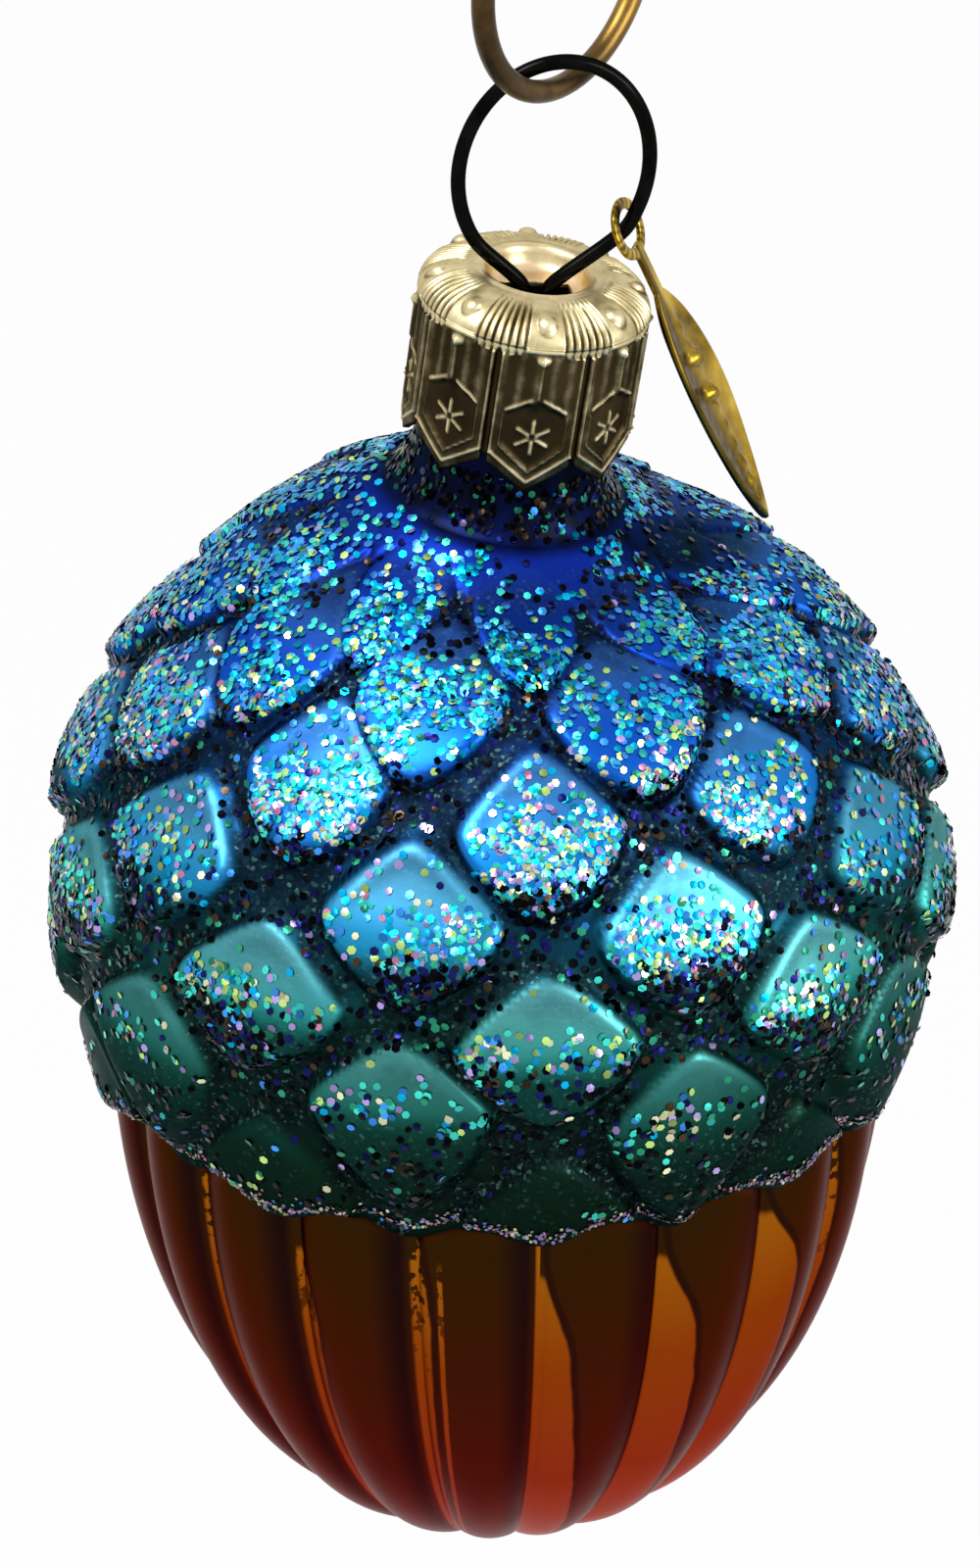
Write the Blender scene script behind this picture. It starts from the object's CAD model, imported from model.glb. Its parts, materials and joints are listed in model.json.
# %% [markdown]
# # A blown glass acorn for the tree
# The ornament is an acorn blown into a mould: a cup of raised scales over a fluted nut. It is
# silvered inside, lacquered and glittered outside, and closed by a stamped crown cap, which hangs
# by a spring wire loop on an S-hook. A small leaf tag hangs on the loop.
# The packed model gives every piece its size, place and joints. This lesson gives them their
# finished surface. Meshes are worked out in millimetres and written in metres.

import json
import math

import bpy
import numpy as np
from mathutils import Matrix, Vector, noise


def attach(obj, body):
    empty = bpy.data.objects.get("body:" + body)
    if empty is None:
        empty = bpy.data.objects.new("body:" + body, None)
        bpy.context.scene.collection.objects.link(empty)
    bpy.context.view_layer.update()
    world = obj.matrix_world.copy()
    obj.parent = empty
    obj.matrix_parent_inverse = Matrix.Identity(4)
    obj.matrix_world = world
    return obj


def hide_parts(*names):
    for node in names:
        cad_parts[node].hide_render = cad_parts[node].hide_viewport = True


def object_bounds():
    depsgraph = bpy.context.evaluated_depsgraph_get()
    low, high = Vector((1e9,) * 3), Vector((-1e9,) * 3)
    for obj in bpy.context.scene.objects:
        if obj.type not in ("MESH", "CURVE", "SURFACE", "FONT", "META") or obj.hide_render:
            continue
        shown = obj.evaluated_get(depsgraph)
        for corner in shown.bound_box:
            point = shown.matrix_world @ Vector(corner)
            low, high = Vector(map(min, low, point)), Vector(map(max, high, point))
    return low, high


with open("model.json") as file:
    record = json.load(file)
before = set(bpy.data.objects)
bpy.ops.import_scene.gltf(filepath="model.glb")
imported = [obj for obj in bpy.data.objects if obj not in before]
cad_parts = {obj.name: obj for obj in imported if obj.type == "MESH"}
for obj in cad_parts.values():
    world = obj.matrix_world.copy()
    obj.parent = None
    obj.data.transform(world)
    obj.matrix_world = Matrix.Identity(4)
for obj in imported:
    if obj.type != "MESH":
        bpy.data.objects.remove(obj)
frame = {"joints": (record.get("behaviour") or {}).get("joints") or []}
cad_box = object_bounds()
MM = 0.001

# %% [markdown]
# ## Sizes
# These are the sizes that the model was drawn with, only the nut is 0.1 mm shorter, so that its
# round skin stays inside the model's flat faces. Heights on the glass are counted from the cup's
# widest ring, and turns go round from the front towards the right.

# %% Sizes of the glass, in millimetres and degrees
CUP_RADIUS, CUP_RISE, CUP_BOW = 23.6, 20.6, 1.85
CUP_DROP, CUP_TUCK = 9.6, 1.5
EDGE_WAVE, EDGE_LIP, NUT_LIP = 0.45, 0.4, 0.15
NUT_RADIUS, NUT_LENGTH, NUT_BOW = 20.3, 30.7, 2.1
FLUTE_DEPTH = 0.95
GLASS_WALL = 0.8
NECK_RADIUS, NECK_TOP, NECK_FOOT = 4.75, 12.87, 4.45
NECK_LEAN, NECK_LEAN_TURN, LEAN_START = 9.5, 43, 17.5
NECK_BLEND, GROOVE_START = 3.5, 1.2
SCALES, SCALE_TURN = 10, -5
FLUTES = 2 * SCALES
HALF_PITCH = 180 / SCALES  # between one scale and the next, in degrees
SCALE_HEIGHT, SCALE_WIDEST = 1.6, 0.94
ROW_TURN, ROW_MIDDLE = 14.2, 5.4
TOP_ROW, MIDDLE_ROW, EDGE_ROW = -3, 2, 4
print("outlines of cup and nut", 2 * CUP_RADIUS, "and", 2 * NUT_RADIUS, "mm,", FLUTES, "flutes")

# %% [markdown]
# ## Where the hanging pieces lie
# The ornament hangs a little out of true, as real ones do, and its neck leans. The joints know
# this: the glass pulls off along the neck, and the cap rocks about the slot. So the frames of
# the neck and of the glass are worked out from those two joints and nothing is typed in twice.

# %% Frames of the neck and of the glass
SLOT_HEIGHT = 12.925  # of the cap's slot, along the neck
UP = np.array([0, 0, 1.0])


def towards(turn):
    """Level direction at a turn in degrees from the front."""
    turn = np.radians(turn)
    return np.stack([np.sin(turn), -np.cos(turn), np.zeros_like(turn)], -1)


def unit(vectors):
    """Vectors made 1 long, each in a row of its own when there are many."""
    return vectors / np.linalg.norm(vectors, axis=-1, keepdims=True)


lean_side = towards(float(NECK_LEAN_TURN))
lean_axis = np.array([-lean_side[1], lean_side[0], 0])
joints = {joint["name"]: joint for joint in frame["joints"]}
neck_up = unit(joints["glass_pull"]["axis"])
neck_right = unit(np.cross(np.cross(neck_up, joints["cap_rock"]["axis"]), neck_up))
neck_turn = np.column_stack([neck_right, np.cross(neck_up, neck_right), neck_up])
neck_place = np.array(joints["cap_rock"]["pos_m"]) - MM * SLOT_HEIGHT * neck_up
lean = np.array(Matrix.Rotation(math.radians(NECK_LEAN), 3, Vector(lean_axis)))
glass_turn = neck_turn @ lean.T
glass_place = neck_place - MM * LEAN_START * glass_turn[:, 2]


def from_neck(points):
    """Millimetres in the neck's frame to metres in the model's."""
    return neck_place + MM * np.asarray(points) @ neck_turn.T


def from_glass(points):
    return glass_place + MM * np.asarray(points) @ glass_turn.T


print("neck foot at", np.round(neck_place, 5), "glass middle at", np.round(glass_place, 5))

# %% [markdown]
# ## Shader maths as plain arithmetic
# A finish is easier to read as `1 - mask` than as a chain of boxes. `Wire` holds one socket of
# a material. Adding or multiplying wires adds Math nodes, and every other node comes from `add`:
# its kind, its settings, and then the values or wires of its sockets.

# %% One small class for finishes


class Wire:
    """A socket of a material's node tree, or just the tree before anything is on it."""

    def __init__(self, tree, socket=None):
        self.tree = tree
        self.socket = socket

    def add(self, kind, settings=None, inputs=None, output=0):
        node = self.tree.nodes.new("ShaderNode" + kind)
        for name, setting in (settings or {}).items():
            if name == "stops":
                fill_ramp(node.color_ramp, setting)
            else:
                setattr(node, name, setting)
        for name, given in (inputs or {}).items():
            if isinstance(given, Wire):
                self.tree.links.new(given.socket, node.inputs[name])
            else:
                node.inputs[name].default_value = given
        return Wire(self.tree, node.outputs[output] if node.outputs else None)

    def math(self, operation, *values):
        return self.add("Math", {"operation": operation}, dict(enumerate(values)))

    def __add__(self, other):
        return self.math("ADD", self, other)

    def __sub__(self, other):
        return self.math("SUBTRACT", self, other)

    def __rsub__(self, other):
        return self.math("SUBTRACT", other, self)

    def __mul__(self, other):
        return self.math("MULTIPLY", self, other)

    def __truediv__(self, other):
        return self.math("DIVIDE", self, other)

    def __rtruediv__(self, other):
        return self.math("DIVIDE", other, self)

    __radd__ = __add__
    __rmul__ = __mul__

    def rise(self, low, high):
        """0 below low, 1 above high and smooth between; low may be above high."""
        settings = {"interpolation_type": "SMOOTHSTEP"}
        return self.add("MapRange", settings, {"Value": self, "From Min": low, "From Max": high})

    def ramp(self, *stops):
        return self.add("ValToRGB", {"stops": stops}, {"Fac": self})

    def mixed(self, other, share):
        """This colour with a share of another one."""
        inputs = {0: share, 6: self, 7: other}
        return self.add("Mix", {"data_type": "RGBA"}, inputs, output=2)

    def of_mesh(self, name, output=2):
        """A value that the mesh carries: output 2 is its number and 0 its colour."""
        return self.add("Attribute", {"attribute_name": name}, output=output)

    def place(self):
        """Where a point is on its piece, in metres."""
        return self.add("TexCoord", output=3)

    def grain(self, scale, detail=2.0, roughness=0.5):
        """Noise that stays on the piece, with the scale in cells to the metre."""
        inputs = {"Vector": self.place(), "Scale": scale, "Detail": detail, "Roughness": roughness}
        return self.add("TexNoise", {}, inputs)

    def bumped(self, strength, distance):
        inputs = {"Height": self, "Strength": strength, "Distance": distance}
        return self.add("Bump", {}, inputs)


print("a wire knows", [name for name in vars(Wire) if "__" not in name])

# %% Ramps, paints and materials


def fill_ramp(ramp, stops):
    """Stops are (place, red, green, blue), from left to right."""
    while len(ramp.elements) < len(stops):
        ramp.elements.new(1.0)
    for element, (place, *chart) in zip(ramp.elements, stops):
        element.position = place
        element.color = paint(*chart)


def paint(*chart):
    """Red, green and blue as a paint chart gives them, 0 to 255, in a shader's linear values."""
    linear = (((c / 255 + 0.055) / 1.055) ** 2.4 if c > 10 else c / 3294 for c in chart)
    return (*linear, 1.0)


def finish(name):
    """A new material with an empty tree, and the wire to start from."""
    material = bpy.data.materials.new(name)
    material.use_nodes = True
    material.node_tree.nodes.clear()
    return material, Wire(material.node_tree)


def surface(wire, **sockets):
    """The material's shader; what changes over the piece comes as a wire."""
    names = {name.replace("_", " "): value for name, value in sockets.items()}
    shader = wire.add("BsdfPrincipled", {}, names)
    wire.add("OutputMaterial", {}, {"Surface": shader})
    print("finish of", len(wire.tree.nodes), "nodes")


print("azure is", np.round(paint(24, 124, 176), 3), "to a shader")

# %% [markdown]
# ## Turning rings of points into a piece
# Nearly everything here is a skin of rings: the glass, the cap and the wires. A ring is a row of
# points round the piece, and neighbouring rings are joined by four-sided faces. Numbers such as
# the height of the relief are stored on the points, and the finish reads them there.

# %% Skins and pieces


def skin(rings, around_it, close=False):
    """Four-sided faces between rings of equal size, each starting at a number in the list."""
    rings = [*rings, rings[0]] if close else rings
    return [
        (upper + k, lower + k, lower + (k + 1) % around_it, upper + (k + 1) % around_it)
        for upper, lower in zip(rings, rings[1:])
        for k in range(around_it)
    ]


def fan(ring, tip, around_it, tip_first=False):
    """Triangles between a ring and one point."""
    faces = [(ring + k, tip, ring + (k + 1) % around_it) for k in range(around_it)]
    return [face[::-1] for face in faces] if tip_first else faces


def capped_skin(count, around_it, inside_out=False):
    """Faces of a row of rings with a tip at each end; the tips' numbers follow the last ring's."""
    rings = [around_it * k for k in range(count)]
    end = around_it * count
    faces = skin(rings, around_it) + fan(0, end, around_it, tip_first=True)
    faces += fan(rings[-1], end + 1, around_it)
    return [face[::-1] for face in faces] if inside_out else faces


def linked(name, data):
    """A mesh, lamp or camera as an object of the scene."""
    made = bpy.data.objects.new(name, data)
    bpy.context.scene.collection.objects.link(made)
    return made


def new_object(name, points, faces, stored=None):
    """A piece with what its finish reads: a number or a colour for each point, under a name."""
    mesh = bpy.data.meshes.new(name)
    mesh.from_pydata(np.asarray(points).tolist(), [], faces)
    for label, values in (stored or {}).items():
        values = np.asarray(values, np.float32)
        kind, key = ("FLOAT", "value") if values.ndim == 1 else ("FLOAT_COLOR", "color")
        mesh.attributes.new(label, kind, "POINT").data.foreach_set(key, values.ravel())
    return linked(name, mesh)


def apply_modifiers(made):
    """Puts the result of the modifiers into the mesh."""
    ready = made.evaluated_get(bpy.context.evaluated_depsgraph_get())
    mesh = bpy.data.meshes.new_from_object(ready)
    made.modifiers.clear()
    made.data = mesh


def cut_or_join(made, other, operation):
    """Cuts another closed mesh out of this one, or joins it on, and throws the other away."""
    tool = made.modifiers.new(operation.lower(), "BOOLEAN")
    tool.operation = operation
    tool.solver = "EXACT"
    tool.object = other
    apply_modifiers(made)
    bpy.data.objects.remove(other)
    print(made.name, "after", operation.lower(), len(made.data.polygons), "faces")


def dress(made, body, materials, node=None, smooth=True):
    """Gives the piece its finish and puts it on the body that carries it."""
    for material in materials:
        made.data.materials.append(material)
    made.data.shade_smooth() if smooth else made.data.shade_flat()
    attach(made, body)
    if node:
        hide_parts(node)
    print(made.name, len(made.data.vertices), "points", len(made.data.polygons), "faces")


print("a ring of 4 round a tip gives", fan(0, 4, 4))

# %% [markdown]
# ## The form of the glass
# The acorn is a body of revolution with a relief on it. Its outline is two formulas, one for the
# cup and one for the nut. `around` places a ring on the upright axis below and bends it over to
# the leaning neck above, where the blower pulled the tube away at a slant.

# %% Outline of the acorn


def ease(x):
    x = np.clip(x, 0, 1)
    return x * x * (3 - 2 * x)


BEND_BELOW, BEND_LENGTH, BEND_HALF = 3.5, 6, 2.5  # where the axis bends over, round LEAN_START


def around(turn, z, r):
    """Points in millimetres at a turn, a height and a radius, all arrays of one shape."""
    turn, z, r = np.broadcast_arrays(*(np.asarray(a, float) for a in (turn, z, r)))
    over = z - LEAN_START
    bend = math.radians(NECK_LEAN) * ease((over + BEND_BELOW) / BEND_LENGTH)[..., None]
    start = np.maximum(0, over + BEND_HALF) ** 2 / (4 * BEND_HALF)
    shift = math.tan(math.radians(NECK_LEAN)) * np.where(over > BEND_HALF, over, start)
    flat = r[..., None] * towards(turn)
    along = (flat @ lean_axis)[..., None] * lean_axis
    turned = along + (flat - along) * np.cos(bend) + np.cross(lean_axis, flat) * np.sin(bend)
    return turned + shift[..., None] * lean_side + z[..., None] * UP


def cup_radius(z):
    """Outline over the tops of the scales."""
    low = CUP_RADIUS - CUP_TUCK * (z / CUP_DROP) ** 2
    share = np.maximum(0, 1 - (np.maximum(z, 0) / CUP_RISE) ** CUP_BOW)
    dome = CUP_RADIUS * share ** (1 / CUP_BOW)
    soft = (dome**NECK_BLEND + NECK_RADIUS**NECK_BLEND) ** (1 / NECK_BLEND)
    return np.where(z < 0, low, soft)


def nut_radius(z):
    share = 1 - (np.clip(-CUP_DROP - z, 0, NUT_LENGTH) / NUT_LENGTH) ** NUT_BOW
    return NUT_RADIUS * np.maximum(0, share) ** (1 / NUT_BOW)


def row_height(v):
    """Height of a row of scales; rows count downwards at even steps of latitude."""
    latitude = np.radians(ROW_MIDDLE + ROW_TURN * (MIDDLE_ROW - np.minimum(v, EDGE_ROW - 1)))
    height = CUP_RISE * np.sin(latitude)
    below = np.clip(v - EDGE_ROW + 1, 0, 1)
    return height + below * (-CUP_DROP - height)


print("rows of scales at", [round(float(row_height(row)), 1) for row in range(TOP_ROW, EDGE_ROW)])

# %% [markdown]
# ## The scales
# Each scale is a pad with a steep edge. It is sunk at its upper corner and stands proud at its
# lower one, like a roof tile. A mould is cut by hand, so no two scales are quite alike: every
# one is nudged and stretched a little by seeded random numbers.

# %% Relief of the cup
PAD_TOP = 0.84  # share of the full height that a scale reaches, so that glitter has room on it
PAD_CORNER = 1.16  # how far a scale's corners are cut back: 1 is a sharp diamond
PAD_HALF_LENGTHS = ((-2, 1.0), (0, 0.8))  # rows and half lengths in rows: upper scales are longer
PAD_HALF_WIDTHS = ((0, 4.45), (2, 5.1))  # rows and millimetres: lower scales are wider
PAD_EDGE, PAD_EDGE_LOW = (1.03, 0.16), (1.2, 0.38)  # where the edge ends, and how wide it is
PAD_HIGH_SIDE, PAD_CROWN, PAD_RIM = 0.5, 0.12, 0.07
LAST_ROW_REACH = 1.25
PLAIN = (0.62, 0.25)  # relief and place that the finish reads as plain lacquer
ROW_SLANT, SLANT_TURN = 0.16, -11  # the rows run a little downhill, from left to right in front

nudges = np.random.default_rng(7).uniform(-1, 1, (16, SCALES, 4))
# The most by which a scale is wider, lower, longer and more to the side, as shares
WIDER, LOWER, LONGER, ASIDE = 0.05, 0.035, 0.04, 0.06
# Scales in front that lie off their row: row, number and how many rows lower
for row, number, lower in ((0, 0, 0.18), (1, 0, 0.12), (2, 0, 0.13), (3, -1, -0.15), (-1, 0, 0.12)):
    nudges[row, number] = (0, lower / LOWER, 0, 0)
print("nudges for", nudges.shape[:2], "rows and scales")

# %% Relief at a point of the cup


def scales(u, v):
    """Relief from 0 to 1 at (u, v), in half pitches and rows, with the place in the scale."""
    best, place = np.zeros(u.shape), np.zeros(u.shape)
    for step in (-1, 0, 1, 2):
        row = np.floor(v) + step
        odd = np.abs(row) % 2
        nearest = 2 * np.round((u - odd) / 2) + odd
        nudge = nudges[row.astype(int), ((nearest - odd) / 2 % SCALES).astype(int)]
        half_pitch = math.pi * cup_radius(row_height(row)) / SCALES
        width = np.interp(row, *zip(*PAD_HALF_WIDTHS))
        half_width = np.minimum(SCALE_WIDEST, width / half_pitch) * (1 + WIDER * nudge[..., 0])
        slant = ROW_SLANT * np.sin(np.radians(SCALE_TURN + HALF_PITCH * nearest - SLANT_TURN))
        down = v - row - slant - LOWER * nudge[..., 1]
        reach = np.where((row == EDGE_ROW - 1) & (down > 0), LAST_ROW_REACH, 1)
        length = np.interp(row, *zip(*PAD_HALF_LENGTHS))
        y = down / (length * reach * (1 + LONGER * nudge[..., 2]))
        x = (u - nearest + ASIDE * nudge[..., 3] * (1 + y)) / half_width
        out = ((np.abs(x) + np.abs(y)) ** 8 / PAD_CORNER**8 + np.hypot(x, y) ** 8) ** (1 / 8)
        low_side = ease(1.6 * y)
        ends, wide = (a + (b - a) * low_side for a, b in zip(PAD_EDGE, PAD_EDGE_LOW))
        edge = ease((ends - out) / wide)
        slope = PAD_HIGH_SIDE + (1 - PAD_HIGH_SIDE) * ease(0.5 + 0.75 * y)
        crown = 1 - PAD_CROWN + PAD_CROWN * np.maximum(0, 1 - out**2)
        rim = PAD_RIM * np.exp(-(((out - 0.8) / 0.09) ** 2)) * ease(0.4 - 2 * y)
        height = np.where(row > EDGE_ROW, 0, edge * (slope * crown + rim))
        place = np.where(height > best, y, place)
        best = np.maximum(best, height)
    return PAD_TOP * best * ease((v - TOP_ROW) / 2), place


LOW_END = ((-1, 0.62), (0, 0.5), (1, 0.16), (2, -0.1), (3, -0.15))  # rows, and where it starts


def low_end(v, place, relief):
    """1 on the thick lower side of a scale, which takes more of the scale from row to row."""
    start = np.interp(v, *zip(*LOW_END))
    return ease((place - start) / 0.5) * ease((relief - 0.2) / 0.2)


def cup_points(turn, v):
    """Points of the cup's outer face, with the relief and the place in the scale."""
    u = (turn - SCALE_TURN) / HALF_PITCH
    relief, place = scales(u, v)
    z = row_height(v)
    wave = np.maximum(0, v - EDGE_ROW + 1) ** 3 * EDGE_WAVE * np.cos(2 * math.pi * u)
    depth = SCALE_HEIGHT * ease((v - TOP_ROW) / GROOVE_START)
    r = np.maximum(cup_radius(z) - depth * (1 - relief), NECK_RADIUS)
    calm = 1 - ease((v - TOP_ROW) / 1.6)  # near the neck the glass is plain
    look, place = relief + (PLAIN[0] - relief) * calm, place + (PLAIN[1] - place) * calm
    return around(turn, z - wave, r), look, place


def fluted_radius(turn, z):
    """The nut's lobes are round and meet in sharp grooves, below the middles of the scales."""
    lobe = np.abs(np.sin(np.radians(FLUTES / 2 * (turn - SCALE_TURN))))
    r = nut_radius(z)
    return r - FLUTE_DEPTH * ease(r / (0.8 * NUT_RADIUS)) * (1 - lobe**0.7)


middle_relief, _ = scales(np.zeros(1), np.ones(1) * MIDDLE_ROW)
print("relief in the middle of a scale", middle_relief.round(2))

# %% [markdown]
# ## The acorn as one closed skin
# The skin starts at the neck's rim, runs down the outside to the bottom, and comes back up the
# inside through the bore. So the piece has a real wall, as blown glass has. The grid is about
# 0.3 mm, fine enough for the pads' edges.

# %% Rings of the acorn
COLUMNS = 480
FLARE_STEPS, CUP_STEPS, NUT_STEPS, HOLLOW_STEPS = 8, 126, 50, 10
ON_CUP, ON_NUT, INSIDE = 0, 1, 2  # the three coats: cup lacquer, nut lacquer and silvering
PLAIN_RING = {"relief": PLAIN[0], "place": PLAIN[1], "low_end": 0.0, "drop": 0.0, "dim": 1.0}
turns = SCALE_TURN + 360 * np.arange(COLUMNS) / COLUMNS
levels = []  # from the neck's rim down the outside and up the inside: points, coat and numbers


def level(points, coat=ON_CUP, **numbers):
    """Adds a ring, with the numbers that differ from those of plain lacquer."""
    ring = {name: np.broadcast_to(n, (COLUMNS,)) for name, n in (PLAIN_RING | numbers).items()}
    levels.append((points, coat, ring))


def turned_from(middle, turn):
    """How far a turn is from a middle, from -180 to 180."""
    return (turn - middle + 180) % 360 - 180


DARK_TURN, DARK_ROW, DARK_SLANT = 68, -2.15, 0.02  # middle, and rows lower to a degree
DARK_HALF_TURN, DARK_HALF_ROW = 32, 0.6


def dark_patch(turn, v):
    """1 where the lacquer went on thick and dark, on the right of the neck."""
    off = turned_from(DARK_TURN, turn)
    down = v - DARK_ROW - DARK_SLANT * off
    return np.exp(-((off / DARK_HALF_TURN) ** 4) - (down / DARK_HALF_ROW) ** 4)


NECK_STEEP = math.cos(math.radians(NECK_LEAN))  # height that a millimetre along the neck gains


def neck_ring(height, r, turn=turns):
    return around(turn, LEAN_START + height * NECK_STEEP, r)


RIM_ROUND = GLASS_WALL / 4
FLARE_TOP = NECK_FOOT + 1
level(neck_ring(NECK_TOP, NECK_RADIUS - RIM_ROUND), INSIDE)
level(neck_ring(NECK_TOP - RIM_ROUND, NECK_RADIUS))
neck_low = (row_height(TOP_ROW) - LEAN_START) / NECK_STEEP
flare = float(cup_radius(row_height(TOP_ROW))) - NECK_RADIUS


def neck_radius(height):
    """The neck flares out towards the cup."""
    share = np.clip((FLARE_TOP - height) / (FLARE_TOP - neck_low), 0, 1)
    return NECK_RADIUS + flare * share**2.5


for height in np.linspace(FLARE_TOP, neck_low, FLARE_STEPS, endpoint=False):
    level(neck_ring(height, neck_radius(height)))
for row in np.linspace(TOP_ROW, EDGE_ROW, CUP_STEPS + 1):
    points, relief, place = cup_points(turns, np.full(COLUMNS, row))
    dim = np.maximum(dark_patch(turns, row), 1 - ease((row - TOP_ROW) / 0.35))
    low = low_end(row, place, relief)
    level(points, relief=relief, place=place, low_end=low, dim=dim)
print("rings of the neck and the cup", len(levels))

# %% Rings of the nut and the inside
NUT_GAP = 0.1  # from the cup's lip down to the nut's first ring
HOLLOW_TOP, HOLLOW_LEAST, WALL_GROWTH = LEAN_START + 1.2, 1.5, 1.1
wave = EDGE_WAVE * np.cos(2 * math.pi * (turns - SCALE_TURN) / HALF_PITCH)
lip_z = -CUP_DROP - EDGE_LIP - wave
edge_r = np.hypot(points[:, 0], points[:, 1])
level(around(turns, lip_z, (edge_r + nut_radius(lip_z)) / 2 + NUT_LIP), relief=0.2)
nut_starts = len(levels)
nut_top, nut_end = lip_z - NUT_GAP, -CUP_DROP - NUT_LENGTH
level(around(turns, nut_top, fluted_radius(turns, nut_top)), relief=0.0)
for k in range(1, NUT_STEPS):
    share = math.sin(math.pi / 2 * k / NUT_STEPS)
    z = nut_top + (nut_end - lip_z + NUT_GAP) * share
    level(around(turns, z, fluted_radius(turns, z)), ON_NUT, drop=share)
outside_ends = len(levels)

floor = nut_end + GLASS_WALL
for k in range(HOLLOW_STEPS):
    z = floor + (HOLLOW_TOP - floor) * (1 - math.cos(math.pi * (k + 0.5) / HOLLOW_STEPS)) / 2
    outer = nut_radius(z) - FLUTE_DEPTH if z < -CUP_DROP else cup_radius(z) - SCALE_HEIGHT
    wall = GLASS_WALL * (1 + WALL_GROWTH * ease(z / CUP_RISE))
    level(around(turns, z, max(float(outer) - wall, HOLLOW_LEAST)), INSIDE)
BORE, BORE_FOOT = NECK_RADIUS - GLASS_WALL, 3.4
for height, r in ((BORE_FOOT, BORE), (NECK_TOP - RIM_ROUND, BORE), (NECK_TOP, BORE + RIM_ROUND)):
    level(neck_ring(height, r), INSIDE)
print("rings of the nut and the inside", len(levels) - nut_starts)

# %% Join the rings
starts = [COLUMNS * k for k in range(len(levels))]
below = COLUMNS * len(levels)
within = below + 1
points = np.concatenate([row[0] for row in levels])
points = np.vstack([points, around(0.0, nut_end, 0.0), around(0.0, floor, 0.0)])
faces = skin(starts[:outside_ends], COLUMNS)
faces += fan(starts[outside_ends - 1], below, COLUMNS)
faces += fan(starts[outside_ends], within, COLUMNS, tip_first=True)
faces += skin(starts[outside_ends:], COLUMNS)
faces += skin([starts[-1], starts[0]], COLUMNS)
print("points", len(points), "faces", len(faces))

# %% Widths of the painted bands
# How much of its flute a band takes, near its top, halfway and low down. The six bands in front
# follow the real ones, the two left of them are nearly closed, and chance draws the others.
BAND_DROPS = (0.08, 0.4, 0.75)
bands = np.random.default_rng(5).uniform((0.08, 0.14, 0.2), (0.16, 0.4, 0.5), (FLUTES, 3))
bands[[-2, -1, 0, 1, 2, 3]] = [
    (0.13, 0.14, 0.22), (0.12, 0.11, 0.1), (0.16, 0.3, 0.48),
    (0.22, 0.4, 0.5), (0.4, 0.44, 0.42), (0.12, 0.1, 0.1),
]
bands[[-3, -4]] = 0.03
print("bands", len(bands), "widest", bands.max().round(2))

# %% Numbers that the finish reads
TIPS = {"relief": 0.5, "place": 0.0, "low_end": 0.0, "drop": 1.0, "dim": 0.0}  # at the two tips
numbers = {
    name: np.append(np.concatenate([ring[name] for _, _, ring in levels]), [tip, tip])
    for name, tip in TIPS.items()
}
drops = numbers.pop("drop")
BEFORE = 0.12  # share of a flute that lies left of its groove
columns = np.append(np.tile(np.arange(COLUMNS), len(levels)), [0, 0])
flute_number = np.floor(columns * FLUTES / COLUMNS + BEFORE).astype(int) % FLUTES
numbers |= {
    "height": points[:, 2],
    "band_width": [np.interp(d, BAND_DROPS, bands[k]) for d, k in zip(drops, flute_number)],
    "band_middle": bands[flute_number, 1],
    "second_line": flute_number == FLUTES - 1,
}
acorn = new_object("lacquered_acorn", from_glass(points), faces, numbers)
print("numbers on the acorn", sorted(numbers))

# %% Map of the mould, and the coat of each face
# The mould map counts flutes to the right and runs down the nut from 0 to 1. It is stored at the
# corners of the faces, so that it doesn't jump back where the last flute meets the first.
corner = np.empty(len(acorn.data.loops), np.int32)
acorn.data.loops.foreach_get("vertex_index", corner)
first = np.empty(len(acorn.data.polygons), np.int32)
acorn.data.polygons.foreach_get("loop_start", first)
count = np.diff(np.append(first, len(corner)))
column = np.where(corner < below, corner % COLUMNS, 0)
lowest = np.repeat(np.minimum.reduceat(column, first), count)
highest = np.repeat(np.maximum.reduceat(column, first), count)
wraps = (highest - lowest > COLUMNS / 2) & (column < COLUMNS / 2)
flute = (column + COLUMNS * wraps) * FLUTES / COLUMNS
mould = acorn.data.uv_layers.new(name="mould")
mould.data.foreach_set("uv", np.column_stack([flute, drops[corner]]).astype(np.float32).ravel())
coats = np.repeat([coat for _, coat, _ in levels], COLUMNS)
ring_of_face = np.minimum.reduceat(corner, first) // COLUMNS
below_cup = [ring_of_face >= outside_ends, ring_of_face >= nut_starts]
coat_of_face = np.select(below_cup, [INSIDE, ON_NUT], coats[np.minimum(corner[first], below - 1)])
acorn.data.polygons.foreach_set("material_index", coat_of_face.astype(np.int32))
print("rings", len(levels), "faces by coat", np.bincount(coat_of_face))

# %% [markdown]
# ## Lacquer on the cup
# The lacquer fades from navy at the neck through royal blue, azure and teal to bottle green at
# the cup's edge. It is thin and satin over silver, so it shines like coloured metal. The grooves
# and the scales' lower sides hold dark dust and fine glitter: one Voronoi cell is one grain. It
# went on thick and dark at the foot of the neck and right of it, which the number `dim` tells.

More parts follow.
